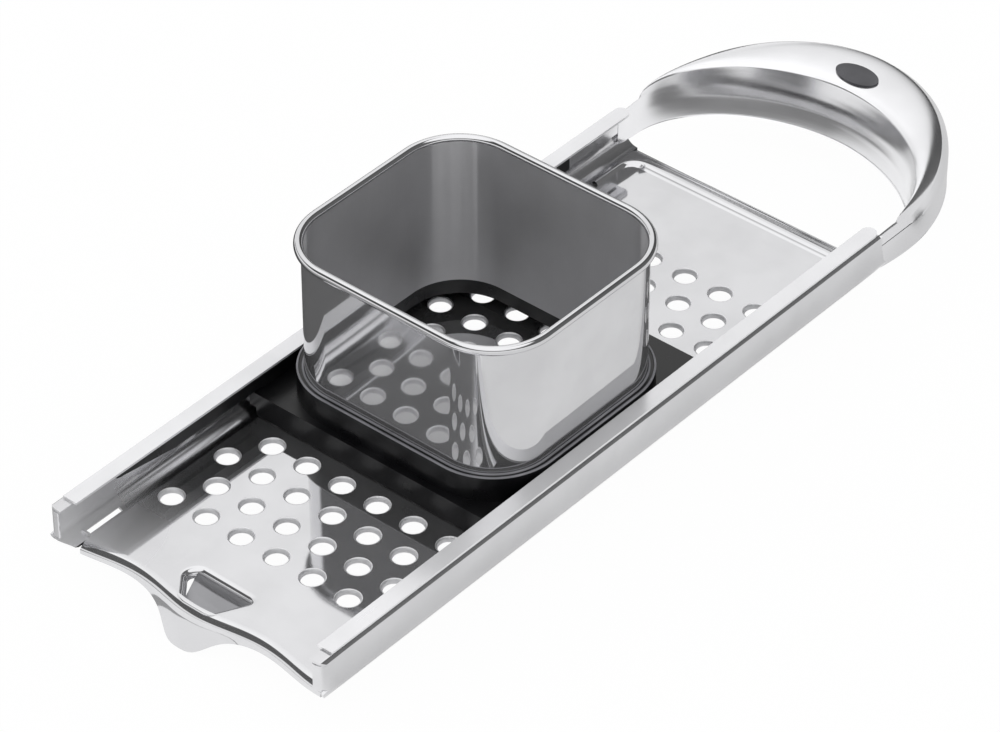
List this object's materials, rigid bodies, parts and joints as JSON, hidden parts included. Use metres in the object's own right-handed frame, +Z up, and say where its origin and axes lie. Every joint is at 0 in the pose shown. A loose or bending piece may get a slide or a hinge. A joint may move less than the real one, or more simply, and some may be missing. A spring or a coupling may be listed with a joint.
{
  "type": "spaetzle maker",
  "caption": "Perforated steel tray with side rails, a hollow loop handle and a pot hook, and a square hopper on a plastic carriage that slides along the rails.",
  "frame": {"origin": "centre of the overall length and width, on the surface that the tray rests on", "axes": "+Z up, +Y along the tray towards the handle, +X to the right seen from the pot hook's end"},
  "size_m": [0.107, 0.336, 0.0759],
  "materials": {
    "polished_sheet": "mirror-polished stainless steel",
    "black_plastic": "fine satin moulding",
    "dark_inlay": "smooth dark grey"
  },
  "bodies": {
    "tray": {"bed_plate": "polished_sheet", "left_rail": "polished_sheet", "right_rail": "polished_sheet", "left_cap_strip": "polished_sheet", "right_cap_strip": "polished_sheet", "left_guide_liner": "black_plastic", "right_guide_liner": "black_plastic", "pot_hook": "polished_sheet", "handle_top_shell": "polished_sheet", "handle_bottom_shell": "polished_sheet", "handle_inlay": "dark_inlay"},
    "carriage": {"carriage_frame": "black_plastic", "hopper_collar": "black_plastic", "hopper_shell": "polished_sheet"}
  },
  "joints": [
    {"name": "carriage_slide", "type": "slide", "parent": "tray", "child": "carriage", "axis": [0, 1, 0], "range_m": [-0.072, 0.072]}
  ]
}
